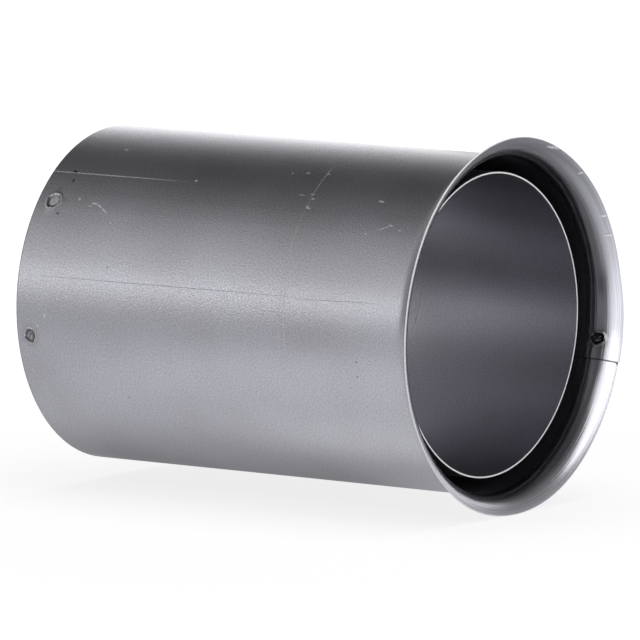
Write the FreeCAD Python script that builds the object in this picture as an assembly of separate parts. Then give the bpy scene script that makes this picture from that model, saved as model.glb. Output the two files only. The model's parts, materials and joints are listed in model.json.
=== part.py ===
"""Double-walled wall sleeve for a stove pipe: a flared outer sleeve round a set-back inner sleeve.

Both are rolled from steel sheet. The outer one has a lapped seam, with the extra layer on the inside,
and a mouth rolled outward to a lip. The inner one is swaged out at the rear to seat in the outer one.

Millimetres. The axis is Y, with +Y into the wall and +Z up. The origin is on the axis where the flare
ends and the straight outside begins, which is the face of the wall. Angles run from +X towards +Z.
"""
import FreeCAD, Part
import math
import os

# Sheet, bore for the pipe, air gap between the two sleeves, and length behind the face of the wall
sheet = 0.8
bore_diameter = 151.0
air_gap = 7.9
depth_in_wall = 237.0

# Mouth of the outer sleeve: bend on the outside of the sheet, and how far the lip turns from the axis
flare_radius = 12.5
flare_angle = 76.0

# Lapped seam of the outer sleeve: angle of the inner cut edge, width of the lap, length of its step
seam_angle = -17.0
lap_width = 20.0
joggle_width = 6.0

# Inner sleeve: front edge behind the wall face, cone and land at the rear, land short of the rear edge
inner_set_back = 2.0
swage_length = 18.0
swage_bend = 2.5
land_length = 20.0
land_set_back = 1.5
lap_clearance = 3.0

bore_radius = bore_diameter / 2
seat_radius = bore_radius + sheet + air_gap
outer_radius = seat_radius + sheet
origin = FreeCAD.Vector(0, 0, 0)
axis_out = FreeCAD.Vector(0, -1, 0)


def arc_degrees(width):
    """Angle that a width takes up round the seat between the two sleeves."""
    return math.degrees(width / seat_radius)


def at(radius, depth):
    """Point of a half-section: distance from the axis, and depth into the wall."""
    return FreeCAD.Vector(radius, depth, 0)


def line(start, end):
    return Part.makeLine(start, end)


def bend(centre, radius, start_angle, end_angle):
    """Arc of a half-section about a centre, between two angles from the outward direction."""

    def point(angle):
        across = math.cos(math.radians(angle))
        along = math.sin(math.radians(angle))
        return centre + at(radius * across, radius * along)

    middle_angle = (start_angle + end_angle) / 2
    return Part.Arc(point(start_angle), point(middle_angle), point(end_angle)).toShape()


def turned(shape, angle):
    return shape.rotated(origin, axis_out, angle)


def sector(section, start_angle, end_angle):
    """Solid made by carrying a half-section round the axis from one angle to another."""
    return turned(Part.Face(section), start_angle).revolve(origin, axis_out, end_angle - start_angle)


def joggle(first_section, first_angle, second_section, second_angle):
    """Short stretch in which the sheet steps from one half-section to another."""
    ends = [turned(first_section, first_angle), turned(second_section, second_angle)]
    return Part.makeLoft(ends, True, True)


def flared_section(outside):
    """Half-section of the outer sleeve's sheet, for a layer with this outside radius."""
    centre = at(outer_radius + flare_radius, 0)
    outside_bend = bend(centre, outer_radius + flare_radius - outside, 180, 180 + flare_angle)
    inside_bend = bend(centre, outer_radius + flare_radius - outside + sheet, 180 + flare_angle, 180)
    lip = line(outside_bend.Vertexes[-1].Point, inside_bend.Vertexes[0].Point)
    inside = outside - sheet
    return Part.Wire([
        line(at(outside, depth_in_wall), at(outside, 0)),
        outside_bend,
        lip,
        inside_bend,
        line(at(inside, 0), at(inside, depth_in_wall)),
        line(at(inside, depth_in_wall), at(outside, depth_in_wall)),
    ])


def swaged_section(land_radius):
    """Half-section of the inner sleeve's sheet, whose land has this outside radius.

    Two equal bends and the straight cone between them make up the swage's rise and length, so the
    cone's angle solves length * sin(angle) + (bends - rise) * cos(angle) = bends, where bends is the
    radius on the inside of the first bend plus that on the inside of the second.
    """
    land_end = depth_in_wall - land_set_back
    land_start = land_end - land_length
    swage_start = land_start - swage_length
    rise = land_radius - sheet - bore_radius
    near = swage_bend
    far = swage_bend + sheet
    bends = near + far
    over = bends - rise
    lean = math.asin(bends / math.hypot(swage_length, over)) - math.atan2(over, swage_length)
    cone_angle = math.degrees(lean)
    first_centre = at(bore_radius + far, swage_start)
    second_centre = at(land_radius - far, land_start)
    inside_first = bend(first_centre, far, 180, 180 - cone_angle)
    inside_second = bend(second_centre, near, -cone_angle, 0)
    outside_second = bend(second_centre, far, 0, -cone_angle)
    outside_first = bend(first_centre, near, 180 - cone_angle, 180)
    return Part.Wire([
        line(at(bore_radius, inner_set_back), at(bore_radius, swage_start)),
        inside_first,
        line(inside_first.Vertexes[-1].Point, inside_second.Vertexes[0].Point),
        inside_second,
        line(at(land_radius - sheet, land_start), at(land_radius - sheet, land_end)),
        line(at(land_radius - sheet, land_end), at(land_radius, land_end)),
        line(at(land_radius, land_end), at(land_radius, land_start)),
        outside_second,
        line(outside_second.Vertexes[-1].Point, outside_first.Vertexes[0].Point),
        outside_first,
        line(at(bore_radius + sheet, swage_start), at(bore_radius + sheet, inner_set_back)),
        line(at(bore_radius + sheet, inner_set_back), at(bore_radius, inner_set_back)),
    ])


def outer_sleeve():
    """Sheet that runs once round, steps inward by its own thickness and laps under its first edge."""
    lap_end = seam_angle + arc_degrees(lap_width)
    step_end = lap_end + arc_degrees(joggle_width)
    wall = flared_section(outer_radius)
    lap = flared_section(outer_radius - sheet)
    once_round = sector(wall, step_end, lap_end + 360)
    step = joggle(lap, lap_end, wall, step_end)
    inner_layer = sector(lap, seam_angle, lap_end)
    return once_round.fuse([step, inner_layer]).removeSplitter()


def inner_sleeve():
    """Sheet whose rear land bears on the outer sleeve, and steps inward by a sheet to pass its lap."""
    relief_start = seam_angle - arc_degrees(lap_clearance)
    relief_end = seam_angle + arc_degrees(lap_width + joggle_width + lap_clearance)
    step = arc_degrees(joggle_width)
    seated = swaged_section(seat_radius)
    relieved = swaged_section(seat_radius - sheet)
    pieces = [
        joggle(relieved, relief_end, seated, relief_end + step),
        joggle(seated, relief_start - step, relieved, relief_start),
        sector(relieved, relief_start, relief_end),
    ]
    return sector(seated, relief_end + step, relief_start - step + 360).fuse(pieces).removeSplitter()


os.makedirs("parts", exist_ok=True)
outer_sleeve().exportStep("parts/outer_sleeve.step")
inner_sleeve().exportStep("parts/inner_sleeve.step")
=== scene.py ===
"""Wall vent sleeve of bare steel sheet: a flared outer sleeve round a set-back inner sleeve.

Metres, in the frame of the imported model: the axis is Y with +Y into the wall, and +Z is up. The origin
is on the axis at the face of the wall. Angles round the axis run from +X towards +Z.
"""

import json

import bpy
import numpy as np
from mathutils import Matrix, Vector


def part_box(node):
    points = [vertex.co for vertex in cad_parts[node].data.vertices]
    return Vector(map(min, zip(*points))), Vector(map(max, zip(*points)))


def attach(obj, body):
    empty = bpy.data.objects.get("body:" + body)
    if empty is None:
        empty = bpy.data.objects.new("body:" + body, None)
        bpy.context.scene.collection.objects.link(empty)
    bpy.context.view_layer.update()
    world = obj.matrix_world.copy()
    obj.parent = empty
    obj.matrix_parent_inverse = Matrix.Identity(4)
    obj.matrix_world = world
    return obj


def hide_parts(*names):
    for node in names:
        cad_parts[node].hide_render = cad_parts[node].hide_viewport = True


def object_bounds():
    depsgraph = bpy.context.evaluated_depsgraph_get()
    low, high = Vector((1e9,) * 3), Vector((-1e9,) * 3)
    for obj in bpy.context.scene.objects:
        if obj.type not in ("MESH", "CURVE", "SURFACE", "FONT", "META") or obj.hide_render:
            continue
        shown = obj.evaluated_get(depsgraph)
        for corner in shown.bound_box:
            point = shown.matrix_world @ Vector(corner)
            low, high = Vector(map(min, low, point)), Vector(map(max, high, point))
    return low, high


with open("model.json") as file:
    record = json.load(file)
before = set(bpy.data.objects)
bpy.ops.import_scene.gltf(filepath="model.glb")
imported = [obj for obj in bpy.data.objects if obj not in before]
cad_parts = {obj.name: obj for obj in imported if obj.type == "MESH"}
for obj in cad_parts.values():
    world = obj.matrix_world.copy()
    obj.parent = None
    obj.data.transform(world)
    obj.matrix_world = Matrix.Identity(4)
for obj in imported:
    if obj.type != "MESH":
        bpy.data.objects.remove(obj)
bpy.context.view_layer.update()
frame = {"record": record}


# Outer sleeve: one steel sheet rolled round, lapped on the right with the extra layer on the inside and
# spot-welded through the lap, then flared at the mouth. A ring of spot welds near the rear edge holds the
# inner sleeve, and each weld leaves a burnt pit in a shallow dish.
mounts = {mount["name"]: mount["dims"] for mount in frame["record"]["mounts"]}
outer_radius = mounts["wall_hole"]["r_mm"] / 1000
depth_in_wall = mounts["wall_hole"]["length_mm"] / 1000
sheet = 0.0008
flare_radius = 0.0125
flare_angle = np.radians(76)
outer_length = depth_in_wall + flare_angle * (flare_radius + sheet / 2)
seam_angle = np.radians(-17)
lap_width = 0.020
step_width = 0.026
lap_gap = 0.00025
lap_twist = np.radians(0.3)
lap_arc = lap_width / (outer_radius - sheet)
step_arc = step_width / (outer_radius - sheet)
lap_end = seam_angle + lap_arc
edge_break = 0.0001
rear_skew = 0.0015
lip_waver = (0.00025, 0.00015)
wall_waver = (0.00012, 0.00005)

# Each weld has an angle round the axis in degrees, a depth in the wall, a pit radius and a share of burn
rear_welds = np.array([
    (141.0, 0.2270, 0.0038, 0.05), (189.1, 0.2290, 0.0031, 0.60),
    (322.0, 0.2275, 0.0033, 0.30), (37.0, 0.2285, 0.0036, 0.20),
])
seam_welds = np.array([
    (-10.1, -0.0048, 0.0028, 1.0), (-9.2, 0.0520, 0.0030, 0.9), (-10.6, 0.1050, 0.0034, 1.0),
    (-9.6, 0.1580, 0.0031, 0.8), (-10.3, 0.2120, 0.0033, 0.9),
])
rear_weld_rows = np.array([0.2265, 0.2295])
weld_reach = 0.0048
weld_step_round = 0.00036
weld_step_up = 0.0005
dish_depth = 0.00015
dish_radius = 0.007
pit_depth = 0.00042
pit_side = (-0.0007, 0.0002)
lump_height = 0.00007
bead_height = 0.00025
bead_offset = 0.0006
bead_width = 0.0005
outside_burn = 0.6
farthest_off = 4.0


def turn_at(degrees):
    """Angle along the rolled sheet from its outer cut edge, for an angle round the axis."""
    return np.mod(lap_end - np.radians(degrees), 2 * np.pi)


def across_at(depth):
    """Distance up the sheet from its rear edge to a depth in the wall. A depth below 0 is up the flare."""
    return depth_in_wall - depth


def smooth(value, start, end):
    """Rises from 0 to 1 between start and end as 3 t^2 - 2 t^3."""
    share = np.clip((value - start) / (end - start), 0, 1)
    return share * share * (3 - 2 * share)


def packed_stations(coarse, centres, reach, fine):
    """Grid stations: coarse ones over the whole range, and finer ones within a reach of each centre.

    Where the two meet, a station that follows closer than about half the fine spacing is left out.
    """
    offsets = np.arange(-reach, reach + fine / 2, fine)
    dense = (np.asarray(centres)[:, None] + offsets).ravel()
    dense = dense[(dense > coarse[0]) & (dense < coarse[-1])]
    clear = np.abs(coarse[:, None] - np.asarray(centres)).min(axis=1) > reach
    clear[[0, -1]] = True
    merged = np.sort(np.concatenate([coarse[clear], dense]))
    apart = np.concatenate([[True], np.diff(merged) > fine * 0.55])
    apart[-1] = True
    return merged[apart]


def weld_pits(round_distance, across, centres, pit_radii, burns, seed):
    """Depth of spot welds pressed into the sheet, the distance to the nearest weld in pit radii, and how
    burnt that weld is.

    With rho the distance from a weld's centre along and up the sheet, each is a wide dish,
    dish_depth * exp(-(rho / dish_radius)^2), and in it a pit inside a radius that wavers with the
    direction. Crossed waves 2 to 3 mm long make the pit lumpy. A bead runs round it, and is highest where
    the pit is shallowest.
    """
    random = np.random.default_rng(seed)
    east = round_distance[..., None] - centres[:, 0]
    north = across[..., None] - centres[:, 1]
    rho = np.hypot(east, north)
    way = np.arctan2(north, east)
    waves = np.arange(2, 9)
    phase = random.uniform(0, 2 * np.pi, (len(centres), len(waves)))
    swing = random.uniform(0.02, 0.07, (len(centres), len(waves))) / np.sqrt(waves)
    wall = pit_radii * (1 + (np.sin(way[..., None] * waves + phase) * swing).sum(axis=-1))
    lean = np.cos(way - random.uniform(0, 2 * np.pi, len(centres)))
    crossed = np.sin(east * 3600 + 1.0) * np.sin(north * 3300) + np.sin(east * 1900 - north * 2600)
    lumps = lump_height * crossed
    dish = dish_depth * np.exp(-(rho / dish_radius) ** 2)
    in_pit = 1 - smooth(rho, wall + pit_side[0], wall + pit_side[1])
    pit = (pit_depth * (1 + 0.25 * lean) + lumps) * in_pit
    bead = bead_height * (1 - 0.6 * lean) * np.exp(-((rho - wall - bead_offset) / bead_width) ** 2)
    off = rho / wall
    return (dish + pit - bead).sum(axis=-1), off.min(axis=-1), burns[off.argmin(axis=-1)]


def out_of_square(depth, angle):
    """Depth in the wall when the rear is cut out of square: it loses up to twice rear_skew on the left,
    in proportion to the depth, as 1 - cos(angle) goes from 0 on the right to 2 on the left."""
    return depth * (1 - rear_skew / depth_in_wall * (1 - np.cos(angle)))


def outer_sheet_place(turn, across, inward):
    """Point of the rolled sheet at a turn from its outer cut edge, a distance up from its rear edge and a
    depth into its thickness.

    The section is straight up to the face of the wall. From there it bends about a centre flare_radius
    outside it: radius = centre - bend * cos(lean), y = -bend * sin(lean), where bend is flare_radius plus
    the depth inward. The last stretch of the turn steps inward by a sheet and laps under the first. Two
    sines round the sheet make the lip uneven, and two make the wall uneven.
    """
    inward = inward + (sheet + lap_gap) * smooth(turn, 2 * np.pi - step_arc, 2 * np.pi)
    lean = np.clip((across - depth_in_wall) / (flare_radius + sheet / 2), 0, None)
    straight = np.clip(depth_in_wall - across, 0, None)
    bend = flare_radius + inward
    flared = lean / flare_angle
    waver = lip_waver[0] * flared * np.sin(3 * turn + 0.6) + lip_waver[1] * flared * np.sin(7 * turn)
    hollow = wall_waver[0] * np.sin(2 * turn + 1.1) + wall_waver[1] * np.sin(5 * turn + across * 21)
    radius = outer_radius + flare_radius - bend * np.cos(lean) + waver + hollow
    angle = lap_end - turn + lap_twist * flared * smooth(turn, 2 * np.pi, 2 * np.pi + lap_arc)
    y = out_of_square(straight, angle) - bend * np.sin(lean)
    return np.stack([radius * np.cos(angle), y, radius * np.sin(angle)], axis=-1)


def rolled_piece(name, place, turn, across, radius, marks):
    """Closed shell of a rolled sheet, from stations round it and across it.

    The section's loop runs up the outside face, over the cut edge, back down the inside face and over the
    other cut edge, with each corner broken by edge_break. It is carried round by the place function, and a
    strip of faces closes each end. The marks function gives the depth of each face's welds, how far off the
    nearest one is and how burnt.
    """
    first, last = across[:1], across[-1:]
    corner = edge_break * np.arange(3)
    half = np.concatenate([first + corner, across[1:-1], last - corner[::-1]])
    break_in = np.zeros(len(half))
    break_in[[0, -1]] = edge_break
    loop = np.concatenate([half, half[::-1]])
    inward = np.concatenate([break_in, sheet - break_in])
    cut = np.zeros(len(half))
    cut[[0, 1, -2, -1]] = 1
    cut = np.concatenate([cut, cut])
    turns, acrosses = np.meshgrid(turn, loop, indexing="ij")
    inside = np.broadcast_to(np.arange(len(loop)) >= len(half), turns.shape)
    sunk, weld, burn = marks(turns, acrosses, inside)
    points = place(turns, acrosses, inward + np.where(inside, -sunk, sunk))

    columns = len(turn)
    stations = len(loop)
    index = np.arange(columns * stations).reshape(columns, stations)
    ahead = np.roll(index, -1, axis=1)
    wall = np.stack([index[:-1], ahead[:-1], ahead[1:], index[1:]], axis=-1).reshape(-1, 4)
    near = np.arange(len(half) - 1)
    far = stations - 1 - near
    cap = np.stack([near, near + 1, far - 1, far], axis=-1)
    faces = np.concatenate([wall, cap[:, ::-1], cap + index[-1, 0]])

    mesh = bpy.data.meshes.new(name)
    mesh.vertices.add(points.size // 3)
    mesh.vertices.foreach_set("co", points.ravel())
    mesh.loops.add(faces.size)
    mesh.loops.foreach_set("vertex_index", faces.ravel())
    mesh.polygons.add(len(faces))
    mesh.polygons.foreach_set("loop_start", np.arange(0, faces.size, 4))
    mesh.update(calc_edges=True)
    mesh.shade_smooth()
    mesh.set_sharp_from_angle(angle=np.radians(40))

    path = np.concatenate([half, half[-1] + sheet + half[-1] - half[::-1]])
    lengths = np.stack([turns * radius, np.broadcast_to(path, turns.shape)], axis=-1).reshape(-1, 2)
    corners = lengths[faces]
    closing = (faces % stations == 0) & (faces.max(axis=1) % stations == stations - 1)[:, None]
    corners[..., 1] += np.where(closing, path[-1] + sheet, 0)
    layer = mesh.uv_layers.new(name="sheet")
    layer.uv.foreach_set("vector", corners.ravel())
    for title, values in (("weld", weld), ("burn", burn), ("cut", np.broadcast_to(cut, turns.shape))):
        attribute = mesh.attributes.new(title, "FLOAT", "POINT")
        attribute.data.foreach_set("value", np.ascontiguousarray(values, dtype=np.float32).ravel())
    piece = bpy.data.objects.new(name, mesh)
    bpy.context.scene.collection.objects.link(piece)
    return piece


def outer_marks(turns, acrosses, inside):
    """Rear welds mark the outside. Seam welds mark the inside of the lap, and less burnt its outside."""
    round_distance = turns * outer_radius
    rear = np.stack([turn_at(rear_welds[:, 0]) * outer_radius, across_at(rear_welds[:, 1])], axis=1)
    seam = np.stack([turn_at(seam_welds[:, 0]) * outer_radius, across_at(seam_welds[:, 1])], axis=1)
    lapped_seam = seam + [2 * np.pi * outer_radius, 0]
    radii, burns = rear_welds[:, 2], rear_welds[:, 3]
    rear_sunk, rear_off, rear_burn = weld_pits(round_distance, acrosses, rear, radii, burns, seed=4)
    radii, burns = seam_welds[:, 2], seam_welds[:, 3]
    seam_sunk, seam_off, seam_burn = weld_pits(
        round_distance, acrosses, seam, radii, burns * outside_burn, seed=5,
    )
    lap_sunk, lap_off, lap_burn = weld_pits(round_distance, acrosses, lapped_seam, radii, burns, seed=6)
    sunk = np.where(inside, lap_sunk, rear_sunk + seam_sunk)
    weld = np.where(inside, lap_off, np.minimum(rear_off, seam_off))
    burn = np.where(inside, lap_burn, np.where(rear_off < seam_off, rear_burn, seam_burn))
    return sunk, np.minimum(weld, farthest_off), burn


seam_turn = turn_at(seam_welds[0, 0])
outer_turns = packed_stations(
    np.linspace(0, 2 * np.pi + lap_arc, num=110),
    np.concatenate([turn_at(rear_welds[:, 0]), [seam_turn, seam_turn + 2 * np.pi]]),
    reach=weld_reach / outer_radius, fine=weld_step_round / outer_radius,
)
wall_stations = np.linspace(0, depth_in_wall, num=18)
lip_stations = np.linspace(depth_in_wall, outer_length, num=24)
outer_acrosses = packed_stations(
    np.concatenate([wall_stations, lip_stations[1:]]),
    np.concatenate([across_at(seam_welds[:, 1]), across_at(rear_weld_rows)]),
    reach=weld_reach, fine=weld_step_up,
)
outer_sleeve = rolled_piece(
    "outer_sleeve_sheet", outer_sheet_place, outer_turns, outer_acrosses, outer_radius, outer_marks,
)
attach(outer_sleeve, "root")
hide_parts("outer_sleeve")


class Shade:
    """A node's output that takes part in arithmetic: each operator adds a Math node to its tree."""

    def __init__(self, tree, socket=None):
        self.tree = tree
        self.socket = socket

    def add(self, kind, settings, sockets, output=0):
        """Adds a node of a kind, makes its settings and a ramp's stops, then sets or links its sockets."""
        node = self.tree.nodes.new(kind)
        for name, value in settings.items():
            if name == "stops":
                for place, _ in value[1:-1]:
                    node.color_ramp.elements.new(place)
                for stop, (place, colour) in zip(node.color_ramp.elements, value):
                    stop.position = place
                    stop.color = colour
            else:
                setattr(node, name, value)
        for name, value in sockets.items():
            if isinstance(value, Shade):
                self.tree.links.new(value.socket, node.inputs[name])
            else:
                node.inputs[name].default_value = value
        return Shade(self.tree, node.outputs[output] if node.outputs else None)

    def also(self, output):
        """Another output of the same node."""
        return Shade(self.tree, self.socket.node.outputs[output])

    def maths(self, operation, *terms):
        """Math node of an operation on shades or numbers."""
        return self.add("ShaderNodeMath", {"operation": operation}, dict(enumerate(terms)))

    def __add__(self, other):
        return self.maths("ADD", self, other)

    def __sub__(self, other):
        return self.maths("SUBTRACT", self, other)

    def __rsub__(self, other):
        return self.maths("SUBTRACT", other, self)

    def __mul__(self, other):
        return self.maths("MULTIPLY", self, other)

    __radd__ = __add__
    __rmul__ = __mul__


def rise(value, start, end):
    """Smooth step of a shade from 0 at start to 1 at end."""
    sockets = {"Value": value, "From Min": start, "From Max": end}
    return value.add("ShaderNodeMapRange", {"interpolation_type": "SMOOTHSTEP"}, sockets)


def blend(share, first, second):
    """Colour between two colours, by the Mix node's colour sockets: 6 and 7 in, 2 out."""
    return share.add("ShaderNodeMix", {"data_type": "RGBA"}, {0: share, 6: first, 7: second}, 2)


def thin_mark(place, start, end, width):
    """Thin mark on the flat sheet: 1 in its middle, falling evenly to 0 at its ends and a width aside."""
    run = np.subtract(end, start)
    sockets = {
        "Vector": place,
        "Location": (*(np.add(start, end) / 2), 0),
        "Rotation": (0, 0, np.arctan2(run[1], run[0])),
        "Scale": (np.hypot(*run) / 2, width, 1),
    }
    centred = place.add("ShaderNodeMapping", {"vector_type": "TEXTURE"}, sockets)
    return place.add("ShaderNodeTexGradient", {"gradient_type": "SPHERICAL"}, {"Vector": centred}, "Fac")


def most(place, marks):
    """The strongest of several thin marks, each given by its two ends, its width and its strength."""
    shades = [thin_mark(place, start, end, width) * strength for start, end, width, strength in marks]
    strongest = shades[0]
    for shade in shades[1:]:
        strongest = shade.maths("MAXIMUM", strongest, shade)
    return strongest


def steel_sheet(name, pale, dark, worked, roughness, sparkle, scratches, scores_and_shade):
    """Bare steel sheet: a cloudy tone, a fine sparkling grain, stray specks, bright scratches, dark scores
    and lines of painted shade, streaks where it was worked to shape, bare or burnt welds with a painted
    glint on their beads, and cut edges of bare steel painted near white as a highlight. The worked stretch
    is given by its ends along the section, its tone at the start and at the end, and where the one turns to
    the other."""
    heat_tint = (0.2, 0.19, 0.18, 1)
    # Bare weld metal in the pits, and a painted glint on the beads round them
    bare_weld_and_glint = (0.88, 0.88, 0.91, 1)
    burnt_weld = (0.014, 0.013, 0.013, 1)
    bright_scratch = (0.9, 0.9, 0.92, 1)
    # Dark scores, and also painted shade along the lap's edge and the rear edge
    dark_score_and_shade = (0.05, 0.05, 0.055, 1)
    # Bare cut steel on the edges, painted near white as a highlight
    bright_cut_and_highlight = (0.95, 0.95, 0.95, 1)
    bump_height = 0.00004
    material = bpy.data.materials.new(name)
    material.use_nodes = True
    material.node_tree.nodes.clear()
    ground = Shade(material.node_tree)

    # Clouds, grain and streaks, and the stretch that was worked
    place = ground.add("ShaderNodeUVMap", {"uv_map": "sheet"}, {})
    up_sheet = ground.add("ShaderNodeSeparateXYZ", {}, {"Vector": place}, "Y")
    cloud = ground.add("ShaderNodeTexNoise", {}, {"Vector": place, "Scale": 14.0, "Detail": 4.0})
    grain = ground.add("ShaderNodeTexNoise", {}, {"Vector": place, "Scale": 1150.0, "Detail": 2.0}) - 0.5
    streaked = ground.add("ShaderNodeMapping", {}, {"Vector": place, "Scale": (9.0, 1400.0, 1.0)})
    streak = ground.add("ShaderNodeTexNoise", {}, {"Vector": streaked, "Scale": 1.0, "Detail": 3.0}) - 0.5
    start, end, start_tone, end_tone, turn_from, turn_to = worked
    formed = rise(up_sheet, start - 0.003, start + 0.002) * (1 - rise(up_sheet, end - 0.002, end + 0.003))

    # Specks, scratches with ragged edges, and scores with lines of painted shade
    ragged = ground.add("ShaderNodeTexNoise", {}, {"Vector": place, "Scale": 900.0, "Detail": 2.0}, "Color")
    ragged = ground.add("ShaderNodeVectorMath", {"operation": "SUBTRACT"}, {0: ragged, 1: (0.5, 0.5, 0.5)})
    sockets = {0: ragged, 1: (0.0012, 0.0012, 0.0), 2: place}
    wandering = ground.add("ShaderNodeVectorMath", {"operation": "MULTIPLY_ADD"}, sockets)
    cells = ground.add("ShaderNodeTexVoronoi", {}, {"Vector": wandering, "Scale": 75.0})
    chance = ground.add("ShaderNodeSeparateColor", {}, {"Color": cells.also("Color")}, "Red")
    speck = (1 - rise(cells, 0.012, 0.035)) * rise(chance, 0.84, 0.9)
    rubbed = speck.maths("MAXIMUM", speck, rise(most(wandering, scratches), 0.1, 0.6))
    # Dark scores, and lines of painted shade along the lap's edge and the rear edge
    scored_and_shaded = rise(most(place, scores_and_shade), 0.1, 0.6)

    # Welds from the core outward, with the edges of each zone broken up, and cut edges
    soot = ground.add("ShaderNodeTexNoise", {}, {"Vector": place, "Scale": 900.0, "Detail": 3.0})
    burn = ground.add("ShaderNodeAttribute", {"attribute_name": "burn"}, {}, "Fac")
    weld = ground.add("ShaderNodeAttribute", {"attribute_name": "weld"}, {}, "Fac") + (soot - 0.5) * 0.7
    weld_pit = 1 - rise(weld, 0.6, 0.85)
    weld_core = weld_pit * burn * (1 - rise(soot, 0.46, 0.58) * 0.6)
    weld_ring = rise(weld, 0.6, 0.85) * (1 - rise(weld, 1.0, 1.2)) * (0.3 + burn * 0.7)
    # A pale ring on each weld's bead: a painted glint
    weld_bead_glint = rise(weld, 0.98, 1.1) * (1 - rise(weld, 1.25, 1.45)) * rise(soot, 0.4, 0.55) * (1 - burn)
    weld_heat = (1 - rise(weld, 1.1, 2.4)) * (0.1 + burn * 0.3)
    cut = ground.add("ShaderNodeAttribute", {"attribute_name": "cut"}, {}, "Fac")

    # Colour, relief and gloss
    tone = blend(rise(cloud, 0.3, 0.7), dark, pale)
    # Tone along the worked stretch; on the outer lip its dark end tone is painted shade
    formed_tone = blend(rise(up_sheet + streak * 0.006, turn_from, turn_to), start_tone, end_tone)
    tone = blend(formed, tone, formed_tone)
    speckled = {"data_type": "RGBA", "blend_type": "MULTIPLY"}
    worn = 1 + grain * (0.9 - formed * 0.75) + streak * formed * 0.8
    tone = ground.add("ShaderNodeMix", speckled, {0: 1.0, 6: tone, 7: worn}, 2)
    tone = blend(weld_heat, tone, heat_tint)
    bare_pit = weld_pit * (1 - burn * 0.8) * (0.3 + rise(soot, 0.42, 0.58) * 0.7)
    # Pale bare pits, and the painted glint on the beads
    tone = blend(bare_pit.maths("MAXIMUM", bare_pit, weld_bead_glint * 0.8), tone, bare_weld_and_glint)
    tone = blend(weld_core + weld_ring, tone, burnt_weld)
    tone = blend(rubbed * 0.8, tone, bright_scratch)
    # Dark scores and lines of painted shade
    tone = blend(scored_and_shaded * 0.8, tone, dark_score_and_shade)
    # Cut edges painted near white: bare cut steel with a painted highlight
    tone = blend(cut, tone, bright_cut_and_highlight)
    relief = grain * (1 - formed * 0.9) * sparkle + streak * (formed * 2.0 + 0.3) - (rubbed + scored_and_shaded) * 1.5
    bump = ground.add("ShaderNodeBump", {}, {"Height": relief, "Strength": 1.0, "Distance": bump_height})
    gloss = (cloud - 0.5) * 0.1 + roughness - formed * 0.08 + rubbed * 0.4 + weld_pit * 0.2 + cut * 0.4
    sockets = {"Base Color": tone, "Metallic": 1 - cut * 0.85, "Roughness": gloss, "Normal": bump}
    finish = ground.add("ShaderNodeBsdfPrincipled", {}, sockets)
    ground.add("ShaderNodeOutputMaterial", {}, {"Surface": finish})
    return material


def on_outside(degrees, depth):
    """Flat-sheet place of a point on the outer sleeve's outside."""
    return np.array([turn_at(degrees) * outer_radius, across_at(depth)])


def on_lip(degrees, lean):
    """Flat-sheet place of a point on the inside of the flared lip, at a lean in degrees from the axis."""
    across = depth_in_wall + np.radians(lean) * (flare_radius + sheet / 2)
    return np.array([turn_at(degrees) * outer_radius, 2 * outer_length + sheet - across])


# Each mark has two ends, a width and a strength
outer_scratches = [
    (on_outside(128.7, 0.2900), on_outside(128.4, 0.1240), 0.0006, 0.8),
    (on_outside(127.6, 0.1487), on_outside(127.8, 0.1457), 0.0010, 1.0),
    (on_outside(107.0, 0.0744), on_outside(141.0, 0.0717), 0.0002, 1.0),
    (on_outside(124.0, 0.0720), on_outside(176.0, 0.0716), 0.0003, 0.8),
    (on_outside(145.0, 0.0718), on_outside(198.0, 0.0712), 0.00025, 0.8),
    (on_outside(158.0, 0.0699), on_outside(194.0, 0.0672), 0.00025, 0.8),
    (on_outside(119.0, 0.0872), on_outside(119.0, 0.0831), 0.0008, 1.0),
    (on_outside(118.8, 0.0744), on_outside(118.8, 0.0710), 0.0008, 0.9),
    (on_outside(119.8, 0.0948), on_outside(119.8, 0.0928), 0.0008, 0.9),
    (on_outside(130.3, 0.0826), on_outside(130.2, 0.0752), 0.0005, 0.8),
    (on_outside(129.5, 0.0762), on_outside(129.5, 0.0704), 0.0005, 0.8),
    (on_outside(131.6, 0.0730), on_outside(131.6, 0.0690), 0.0006, 0.8),
    (on_outside(143.1, 0.0270), on_outside(139.4, 0.0138), 0.0005, 0.8),
    (on_outside(139.3, 0.2130), on_outside(140.2, 0.2100), 0.0011, 1.0),
    (on_outside(142.1, 0.2060), on_outside(142.4, 0.2000), 0.0008, 0.6),
    (on_outside(140.9, 0.2040), on_outside(141.3, 0.1975), 0.0010, 1.0),
    (on_outside(141.0, 0.1995), on_outside(143.0, 0.1945), 0.0010, 1.0),
    (on_outside(142.4, 0.1960), on_outside(144.8, 0.1902), 0.0009, 1.0),
    (on_outside(147.4, 0.1875), on_outside(148.4, 0.1855), 0.0007, 0.7),
    (on_outside(180.5, 0.2191), on_outside(182.8, 0.2188), 0.0009, 0.7),
    (on_outside(185.0, 0.2248), on_outside(185.9, 0.2222), 0.0008, 0.6),
    (on_outside(113.4, 0.2070), on_outside(113.9, 0.2020), 0.0010, 1.0),
    (on_outside(139.6, 0.0197), on_outside(140.3, 0.0145), 0.0008, 1.0),
    (on_outside(141.2, 0.0122), on_outside(142.1, 0.0090), 0.0008, 0.9),
    (on_outside(143.6, 0.0306), on_outside(144.3, 0.0290), 0.0010, 1.0),
    (on_outside(130.0, 0.0330), on_outside(130.6, 0.0272), 0.0010, 1.0),
    (on_outside(134.6, 0.0738), on_outside(136.2, 0.0690), 0.0010, 1.0),
    (on_lip(74.0, 64), on_lip(65.0, 77), 0.0010, 1.0),
    (on_lip(52.3, 58), on_lip(50.2, 76), 0.0008, 0.9),
    (on_lip(32.7, 56), on_lip(30.8, 77), 0.0009, 1.0),
    (on_lip(25.4, 50), on_lip(24.0, 77), 0.0009, 1.0),
]
lip = outer_length + sheet
flare_foot = 2 * outer_length + sheet - depth_in_wall
seam_side = lap_arc * outer_radius + 0.0002
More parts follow.
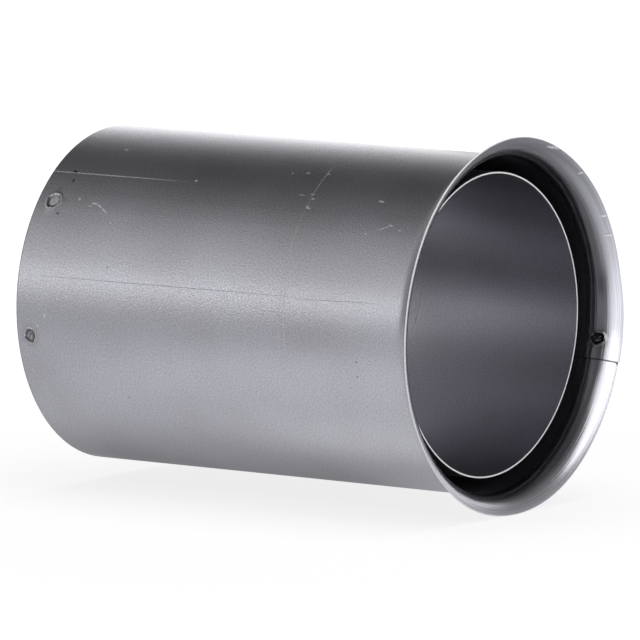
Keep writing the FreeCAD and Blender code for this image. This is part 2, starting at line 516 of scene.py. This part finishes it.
outer_scores_and_shade = [
    (on_outside(168.3, 0.2470), on_outside(167.7, 0.0380), 0.0001, 1.2),
    (on_outside(168.5, 0.0724), on_outside(167.4, 0.0044), 0.0001, 1.0),
    (on_outside(163.1, 0.1823), on_outside(163.5, 0.1809), 0.0007, 0.7),
    (on_outside(209.1, 0.1738), on_outside(209.5, 0.1722), 0.0008, 0.7),
    (on_outside(187.4, 0.0248), on_outside(187.8, 0.0232), 0.0008, 0.7),
    (on_outside(192.5, 0.0252), on_outside(192.9, 0.0236), 0.0008, 0.7),
    (on_outside(127.1, 0.2260), on_outside(128.7, 0.2208), 0.0014, 0.8),
    (on_outside(130.2, 0.2218), on_outside(133.8, 0.2203), 0.0012, 0.7),
    (on_outside(145.3, 0.2226), on_outside(146.2, 0.2200), 0.0012, 0.7),
    # The next two marks are painted shade along the lap's edge inside the sleeve, and the third is a
    # painted shadow at the lap's corner on the lip
    ((seam_side, flare_foot - 0.02), (seam_side, flare_foot + 0.3), 0.0006, 1.2),
    ((seam_side + 0.0002, flare_foot + 0.008), (seam_side - 0.0006, lip - 0.008), 0.0005, 1.2),
    (on_lip(-17.1, 68), on_lip(-17.0, 80), 0.0009, 1.5),
    # A line of painted shade along the rear edge
    ((-0.2, 0.0), (2 * np.pi * outer_radius + 0.2, 0.0), 0.0010, 0.6),
]
# The lip's inside is pale burnished steel near its edge and turns to painted shade, dark toward the flare's
# root
burnished_and_shaded_lip = (
    outer_length, flare_foot, (0.78, 0.78, 0.845, 1), (0.25, 0.25, 0.27, 1), lip + 0.004, lip + 0.0115,
)
outer_sleeve.data.materials.append(steel_sheet(
    "outer_bare_steel", pale=(0.54, 0.54, 0.59, 1), dark=(0.483, 0.481, 0.515, 1), worked=burnished_and_shaded_lip,
    roughness=0.30, sparkle=3.0, scratches=outer_scratches, scores_and_shade=outer_scores_and_shade,
))


# Inner sleeve: a narrower tube of the same steel with a butt seam at the bottom. Its rear end is swaged
# out to a land that seats in the outer sleeve, and is pressed in where it passes the outer sleeve's lap.
bore_radius = mounts["pipe_bore"]["r_mm"] / 1000
front_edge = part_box("inner_sleeve")[0].y
rear_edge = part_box("inner_sleeve")[1].y
land_length = 0.020
swage_length = 0.018
swage_bend = 0.0029
butt_seam = np.radians(-98.4)
butt_gap = 0.00025 / bore_radius
seat_radius = outer_radius - sheet
seat_gap = 0.00006
inner_rise = seat_radius - sheet - bore_radius
lap_clearance = 0.003
relief_depth = sheet + 0.0002
inner_waver = 0.00015
path_points = 40001
land_burn = 0.8
weld_turns = np.mod(butt_seam - np.radians(rear_welds[:, 0]), 2 * np.pi)


def inner_path():
    """Mid-line of the sheet's section from the front edge: its length, depth, rise and lean.

    The lean climbs at an even rate round a bend, holds along the cone and falls back round a second bend.
    The depth adds up cos(lean) and the rise adds up sin(lean). The cone's angle solves
    length * sin(angle) - (rise - 2 * bend) * cos(angle) = 2 * bend.
    """
    over = 2 * swage_bend - inner_rise
    cone = np.arcsin(2 * swage_bend / np.hypot(swage_length, over)) - np.arctan2(over, swage_length)
    bend_length = swage_bend * cone
    cone_length = (inner_rise - 2 * swage_bend * (1 - np.cos(cone))) / np.sin(cone)
    straight = rear_edge - land_length - swage_length - front_edge
    knots = np.cumsum([0, straight, bend_length, cone_length, bend_length, land_length])
    length = np.linspace(0, knots[-1], path_points)
    lean = np.interp(length, knots, [0, 0, cone, cone, 0, 0])
    step = length[1]
    depth = front_edge + np.concatenate([[0], np.cumsum(np.cos((lean[1:] + lean[:-1]) / 2)) * step])
    climb = np.concatenate([[0], np.cumsum(np.sin((lean[1:] + lean[:-1]) / 2)) * step])
    return knots, length, depth, climb, lean


inner_knots, inner_along, inner_depth, inner_climb, inner_lean = inner_path()
straight_length = inner_knots[1]
inner_length = inner_knots[-1]


def inner_sheet_place(turn, across, inward):
    """Point of the inner sheet at a turn from its butt seam, a distance up from its rear edge and a depth
    into its thickness.

    It stands outward from the mid-line by half the sheet less the depth, square to the lean. The rise is
    lowered by seat_gap all round, and by relief_depth more where the land passes the outer sleeve's lap.
    """
    along = inner_length - across
    lean = np.interp(along, inner_along, inner_lean)
    climb = np.interp(along, inner_along, inner_climb)
    depth = np.interp(along, inner_along, inner_depth)
    angle = butt_seam - turn
    lap_middle = lap_end - lap_arc / 2 + step_arc / 2
    aside = np.abs(np.mod(angle - lap_middle + np.pi, 2 * np.pi) - np.pi)
    clear = lap_arc / 2 + step_arc / 2 + lap_clearance / seat_radius
    relief = 1 - smooth(aside, clear, clear + step_arc)
    climb = climb * (1 - relief * relief_depth / inner_rise) - seat_gap * climb / inner_rise
    middle = bore_radius + sheet / 2 + climb
    outward = sheet / 2 - inward
    hollow = inner_waver * np.sin(3 * turn + 0.4) * (1 - climb / inner_rise)
    radius = middle + outward * np.cos(lean) + hollow
    y = out_of_square(depth, angle) - outward * np.sin(lean)
    return np.stack([radius * np.cos(angle), y, radius * np.sin(angle)], axis=-1)


def inner_marks(turns, acrosses, inside):
    """The rear welds mark the inside of the land."""
    centres = np.stack([weld_turns * bore_radius, rear_edge - rear_welds[:, 1]], axis=1)
    burns = np.full(len(rear_welds), land_burn)
    sunk, weld, burn = weld_pits(turns * bore_radius, acrosses, centres, rear_welds[:, 2], burns, seed=7)
    weld = np.where(inside, np.minimum(weld, farthest_off), farthest_off)
    return np.where(inside, sunk, 0), weld, burn


inner_turns = packed_stations(
    np.linspace(butt_gap / 2, 2 * np.pi - butt_gap / 2, num=150), weld_turns,
    reach=weld_reach / bore_radius, fine=weld_step_up / bore_radius,
)
land_stations = np.linspace(0, land_length, num=6)
swage_stations = np.linspace(land_length, inner_length - straight_length, num=24)
straight_stations = np.linspace(inner_length - straight_length, inner_length, num=16)
inner_acrosses = packed_stations(
    np.concatenate([land_stations, swage_stations[1:], straight_stations[1:]]),
    rear_edge - rear_weld_rows, reach=weld_reach, fine=weld_step_up,
)
inner_sleeve = rolled_piece(
    "inner_sleeve_sheet", inner_sheet_place, inner_turns, inner_acrosses, bore_radius, inner_marks,
)
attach(inner_sleeve, "root")
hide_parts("inner_sleeve")

inner_scratches = [
    ((0.100, 0.300), (0.106, 0.312), 0.0008, 0.8),
    ((0.368, 0.428), (0.3690, 0.4295), 0.0010, 1.0),
    ((0.340, 0.330), (0.372, 0.338), 0.0006, 0.6),
]
inner_scores = [((0.0, 0.25), (0.0, 0.52), 0.0009, 0.9)]
swage_start = inner_length + sheet + straight_length
dull_swage = (
    swage_start, 2 * inner_length + sheet, (0.36, 0.36, 0.375, 1), (0.33, 0.33, 0.345, 1),
    swage_start, 2 * inner_length,
)
inner_sleeve.data.materials.append(steel_sheet(
    "inner_bare_steel", pale=(0.51, 0.503, 0.554, 1), dark=(0.457, 0.452, 0.486, 1), worked=dull_swage,
    roughness=0.30, sparkle=0.3, scratches=inner_scratches, scores_and_shade=inner_scores,
))


# Floor: a plain pale sheet under the lip, far wider than the part. It shows white to the camera, with the
# part's shadow on it, and pale in reflections. The steel mirrors it darker close to the lip, in front of
# the mouth, well beside the tube and under it, and brighter close beside the front of the tube.
floor_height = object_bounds()[0].z
floor_reach = 12.0
floor_rings = np.geomspace(0.1, floor_reach, num=12)
floor_angles = np.linspace(0, 2 * np.pi, num=48, endpoint=False)
ring, around = np.meshgrid(floor_rings, floor_angles, indexing="ij")
floor_points = np.stack(
    [ring * np.cos(around), ring * np.sin(around), np.full_like(ring, floor_height)], axis=-1,
)
floor_index = np.arange(ring.size).reshape(ring.shape)
floor_next = np.roll(floor_index, -1, axis=1)
floor_bands = np.stack([floor_index[:-1], floor_index[1:], floor_next[1:], floor_next[:-1]], axis=-1)
floor_faces = floor_bands.reshape(-1, 4).tolist() + [floor_index[0].tolist()]
floor_mesh = bpy.data.meshes.new("floor")
floor_mesh.from_pydata(floor_points.reshape(-1, 3).tolist(), [], floor_faces)
floor = bpy.data.objects.new("floor", floor_mesh)
bpy.context.scene.collection.objects.link(floor)

floor_material = bpy.data.materials.new("pale_floor")
floor_material.use_nodes = True
floor_material.node_tree.nodes.clear()
paper = Shade(floor_material.node_tree)
pale_paper = (0.85, 0.85, 0.89, 1)
pure_white = (1, 1, 1, 1)
lit = paper.add("ShaderNodeBsdfDiffuse", {}, {"Color": pale_paper})
camera_ray = paper.add("ShaderNodeLightPath", {}, {}, "Is Camera Ray")
glow = paper.add("ShaderNodeEmission", {}, {"Color": pure_white, "Strength": 1 + camera_ray * 0.13})
unlit = paper.add("ShaderNodeEmission", {}, {"Strength": 0.0})
glossy_ray = paper.add("ShaderNodeLightPath", {}, {}, "Is Glossy Ray")
clear_ray = paper.add("ShaderNodeLightPath", {}, {}, "Is Transmission Ray")
spot = paper.add("ShaderNodeTexCoord", {}, {}, "Object")
spot_x = paper.add("ShaderNodeSeparateXYZ", {}, {"Vector": spot}, "X")
spot_y = paper.add("ShaderNodeSeparateXYZ", {}, {"Vector": spot}, "Y")
from_part = paper.add("ShaderNodeVectorMath", {"operation": "LENGTH"}, {0: spot}, "Value")
behind_lip = rise(spot_y, -0.05, 0.01)
front_side = rise(spot_x, -0.12, -0.07) * (1 - rise(spot_x, -0.07, -0.035)) * (1 - rise(spot_y, 0.04, 0.2))
mirrored = (glossy_ray + clear_ray) * (0.45 + front_side * behind_lip * 0.3)
seen = camera_ray * (0.7 + rise(from_part, 0.25, 1.0) * 0.3) + mirrored
white = paper.add("ShaderNodeMixShader", {}, {0: seen, 1: lit, 2: glow})

# The dim strip before the mouth starts at a spot on the floor and runs away from the part
strip_start = (-0.25, -0.22)
strip_way = (-0.8, -0.6)
mouth_x = spot_x - strip_start[0]
mouth_y = spot_y - strip_start[1]
outward = mouth_x * strip_way[0] + mouth_y * strip_way[1]
outward = outward.maths("MAXIMUM", outward, 0.0)
aside_x = mouth_x - outward * strip_way[0]
aside_y = mouth_y - outward * strip_way[1]
before_mouth = (1 - rise(aside_x * aside_x + aside_y * aside_y, 0.005, 0.05)) * 0.7
near_lip = rise(spot_y, -0.42, -0.08) * 0.45 + rise(spot_y, -0.1, -0.02) * 0.25
right_front = rise(spot_x, 0.05, 0.2) * (rise(spot_y, -0.5, -0.3) * 0.45 + rise(spot_y, -0.3, -0.2) * 0.15)
ahead = 1 - (1 - before_mouth) * (1 - near_lip) * (1 - right_front)
left_rear = rise(spot_y, 0.2, 0.3) * (1 - rise(spot_y, 0.6, 0.9)) * (1 - rise(spot_x, -0.1, 0.1))
beside = (1 - rise(spot_x, -0.5, -0.2)) * 0.2 + left_rear * 0.2
under = rise(spot_x, -0.075, -0.005) * (1 - rise(spot_x, 0.2, 0.4)) * rise(spot_y, -0.01, 0.1)
under = under * (1 - rise(spot_y, 0.24, 0.27) * 0.5)
dim = glossy_ray * (ahead * (1 - behind_lip) + (beside + under * 0.45) * behind_lip)
floor_look = paper.add("ShaderNodeMixShader", {}, {0: dim, 1: white, 2: unlit})
paper.add("ShaderNodeOutputMaterial", {}, {"Surface": floor_look})
floor.data.materials.append(floor_material)


# Studio: pale walls under a dark ceiling that starts lower on the right, dim in front, behind the camera
# and straight behind the part. A large soft lamp hangs in front, a small one shines into the rear of the
# bore, a long thin one lies on the left, and one that the steel doesn't mirror lights the floor.
world = bpy.data.worlds.new("studio")
bpy.context.scene.world = world
world.use_nodes = True
world.node_tree.nodes.clear()
sky = Shade(world.node_tree)
toward = sky.add("ShaderNodeTexCoord", {}, {}, "Generated")
rightward = sky.add("ShaderNodeSeparateXYZ", {}, {"Vector": toward}, "X")
inward = sky.add("ShaderNodeSeparateXYZ", {}, {"Vector": toward}, "Y")
upward = sky.add("ShaderNodeSeparateXYZ", {}, {"Vector": toward}, "Z")


def grey_stops(*levels):
    """Colour stops of a grey ramp, from pairs of a place and a level."""
    return [(place, (level, level, level, 1)) for place, level in levels]


left_wall = sky.add("ShaderNodeValToRGB", {"stops": grey_stops(
    (0.0, 0.68), (0.1, 0.75), (0.25, 0.8), (0.4, 0.78), (0.54, 0.65), (0.65, 0.52), (0.74, 0.38),
    (0.79, 0.25), (0.84, 0.14), (1.0, 0.08),
)}, {"Fac": upward})
right_wall = sky.add("ShaderNodeValToRGB", {"stops": grey_stops(
    (0.0, 0.8), (0.05, 0.87), (0.13, 1.0), (0.4, 0.92), (0.54, 0.22), (0.62, 0.09), (1.0, 0.05),
)}, {"Fac": upward})
walls = blend(rise(rightward, -0.35, 0.35), left_wall, right_wall)
front_wall = sky.add("ShaderNodeValToRGB", {"stops": grey_stops(
    (0.0, 0.7), (0.08, 0.54), (0.25, 0.25), (0.45, 0.21), (0.7, 0.17), (0.86, 0.22), (1.0, 0.09),
)}, {"Fac": upward})
walls = blend(rise(inward * -1, 0.0, 0.35), walls, front_wall)
camera_way = (-0.81, -0.585)
camera_side = (0.16, 0.16, 0.165, 1)
rear_side = (0.1, 0.1, 0.1, 1)
behind_camera = rise(rightward * camera_way[0] + inward * camera_way[1], 0.72, 0.96)
walls = blend(behind_camera, walls, camera_side)
walls = blend(rise(inward, 0.66, 0.95) * 0.7, walls, rear_side)
surround = sky.add("ShaderNodeBackground", {}, {"Color": walls, "Strength": 1.0})
backdrop = sky.add("ShaderNodeBackground", {}, {"Color": pure_white, "Strength": 1.0})
seen_sky = sky.add("ShaderNodeLightPath", {}, {}, "Is Camera Ray")
both = sky.add("ShaderNodeMixShader", {}, {0: seen_sky, 1: surround, 2: backdrop})
sky.add("ShaderNodeOutputWorld", {}, {"Surface": both})


def soft_lamp(name, place, aim, width, height, power):
    """Rectangular soft lamp at a place, facing an aim."""
    lamp = bpy.data.lights.new(name, "AREA")
    lamp.shape = "RECTANGLE"
    lamp.size = width
    lamp.size_y = height
    lamp.energy = power
    holder = bpy.data.objects.new(name, lamp)
    holder.location = place
    holder.rotation_euler = (Vector(aim) - Vector(place)).to_track_quat("-Z", "Y").to_euler()
    holder.visible_camera = False
    bpy.context.scene.collection.objects.link(holder)
    return holder


soft_lamp("front_lamp", (-0.24, -2.0, 0.80), aim=(0, 0, 0), width=2.6, height=1.8, power=17.9)
soft_lamp("bore_lamp", (0.66, 0.76, 0.13), aim=(0, 0.237, 0), width=0.45, height=0.40, power=0.54)
soft_lamp("side_lamp", (-1.72, 1.40, 0.40), aim=(0, 0.12, 0), width=1.4, height=0.16, power=1.2)
floor_lamp = soft_lamp("floor_lamp", (0, 0, 3.0), aim=(0, 0, 0), width=3.0, height=3.0, power=55)
floor_lamp.visible_glossy = False


# Camera: a long lens from the front left and a little above, so the straight sides hardly converge.
# It looks at a point a little left of the middle of the sleeve, which puts the lip at the right.
aim = Vector((-0.0191, 0.0930, -0.0023))
azimuth = np.radians(-54.095)
elevation = np.radians(7.235)
distance = 4.8056
back = Vector((
    np.sin(azimuth) * np.cos(elevation), -np.cos(azimuth) * np.cos(elevation), np.sin(elevation),
))
lens = bpy.data.cameras.new("camera")
lens.lens = 540.2
lens.sensor_width = 36.0
lens.clip_end = 60.0
camera = bpy.data.objects.new("camera", lens)
camera.location = aim + back * distance
camera.rotation_euler = (-back).to_track_quat("-Z", "Y").to_euler()
bpy.context.scene.collection.objects.link(camera)
bpy.context.scene.camera = camera
bpy.context.scene.view_settings.view_transform = "Standard"
